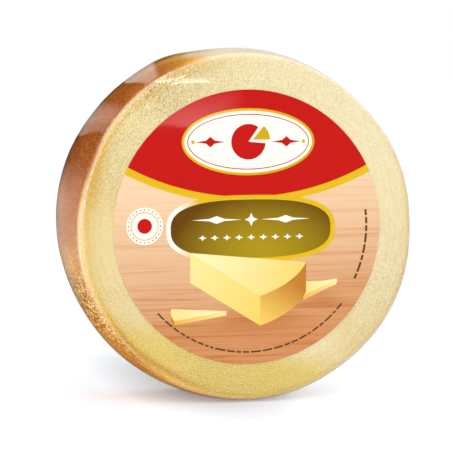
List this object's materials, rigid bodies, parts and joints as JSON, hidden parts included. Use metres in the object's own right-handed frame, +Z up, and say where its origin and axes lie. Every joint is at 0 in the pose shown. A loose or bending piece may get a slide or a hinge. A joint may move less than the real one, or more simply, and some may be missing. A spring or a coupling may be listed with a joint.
{
  "type": "cheese wheel",
  "caption": "Whole smoked provolone cheese wheel shrink-wrapped in a clear bag, standing on its rim, with a round printed label on one face",
  "frame": {"origin": "on the floor, under the middle of the whole: centred in X and Y, at the lowest point in Z", "axes": "the wheel's axis is along Y and the labelled face looks towards -Y; +Z is up, with the wheel standing on its rim and the label upright"},
  "size_m": [0.2484, 0.0908, 0.2498],
  "materials": {
    "wrapped_cheese": "cream-yellow cheese with a smoked brown rind on its side, under glossy clear film",
    "label": "glossy printed film label, front only"
  },
  "bodies": {
    "root": {"wrapped_cheese": "wrapped_cheese", "label": "label"}
  },
  "joints": []
}
